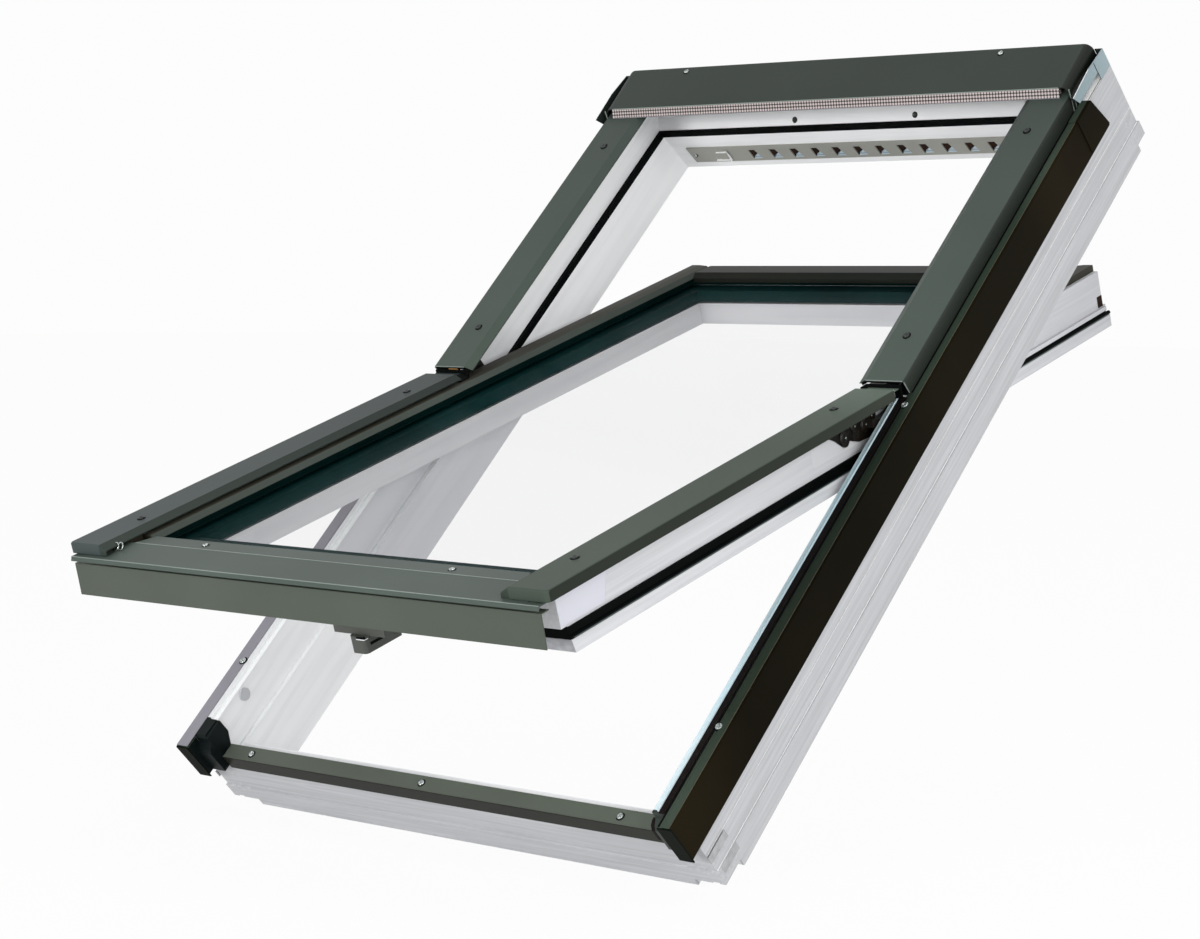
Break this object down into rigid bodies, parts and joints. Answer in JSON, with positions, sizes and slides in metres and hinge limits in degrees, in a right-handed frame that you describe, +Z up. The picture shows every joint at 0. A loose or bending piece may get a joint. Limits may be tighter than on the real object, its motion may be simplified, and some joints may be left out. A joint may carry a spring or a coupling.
{
  "type": "roof window",
  "caption": "Centre-hung timber roof window at 45 degrees with metal covers, its glazed leaf swung part open.",
  "frame": {"origin": "middle of the outer front face of the sill, level with the top of the room side corner cut-outs", "axes": "+X to the right seen from outside, +Y towards the building, +Z up; the window rises towards +Y and +Z at 45 degrees"},
  "size_m": [0.7844, 1.1181, 0.9471],
  "materials": {
    "white_timber": "white paint with faint grain",
    "cover_metal": "grey-green coated sheet, satin",
    "dark_cladding": "dark brown coated sheet",
    "head_metal": "dark grey-green coated sheet",
    "strip_metal": "pale bare edge strip",
    "hinge_steel": "zinc plated",
    "seal_rubber": "matt",
    "black_plastic": "matt",
    "vent_plastic": "grey",
    "mesh_grey": "fine mesh",
    "clear_glass": "clear",
    "spacer_dark": "dark edge seal",
    "bead_metal": "olive grey coated sheet"
  },
  "bodies": {
    "frame": {"frame_side_left": "white_timber", "frame_side_right": "white_timber", "frame_sill": "white_timber", "frame_head": "white_timber", "frame_seal": "seal_rubber", "edge_strip_left": "strip_metal", "edge_strip_right": "strip_metal", "side_cladding_left": "dark_cladding", "side_cladding_right": "dark_cladding", "cladding_cap_left": "dark_cladding", "cladding_cap_right": "dark_cladding", "edge_seal_left": "seal_rubber", "edge_seal_right": "seal_rubber", "sill_cladding": "cover_metal", "upper_cover_left": "cover_metal", "upper_cover_right": "cover_metal", "head_cover": "head_metal", "head_mesh": "mesh_grey", "head_flashing_left": "hinge_steel", "head_flashing_right": "hinge_steel", "vent_strip": "vent_plastic", "vent_slider": "vent_plastic", "bolt_bush": "black_plastic", "hinge_frame_left": "hinge_steel", "hinge_frame_right": "hinge_steel"},
    "leaf": {"leaf_side_left": "white_timber", "leaf_side_right": "white_timber", "leaf_seal": "seal_rubber", "leaf_bottom_rail": "white_timber", "leaf_top_rail": "white_timber", "inner_pane": "clear_glass", "outer_pane": "clear_glass", "pane_spacer": "spacer_dark", "glazing_bead_left": "bead_metal", "glazing_bead_right": "bead_metal", "glazing_bead_top": "bead_metal", "leaf_batten_left": "white_timber", "leaf_batten_right": "white_timber", "lower_cover_left": "cover_metal", "lower_cover_right": "cover_metal", "bottom_cover": "cover_metal", "bottom_apron": "cover_metal", "handle": "cover_metal", "hinge_leaf_left": "hinge_steel", "hinge_leaf_right": "hinge_steel"}
  },
  "joints": [
    {"name": "leaf_pivot", "type": "hinge", "parent": "frame", "child": "leaf", "pos_m": [0, 0.31395, 0.55437], "axis": [-1, 0, 0], "range_deg": [-27.3, 132.7]}
  ]
}
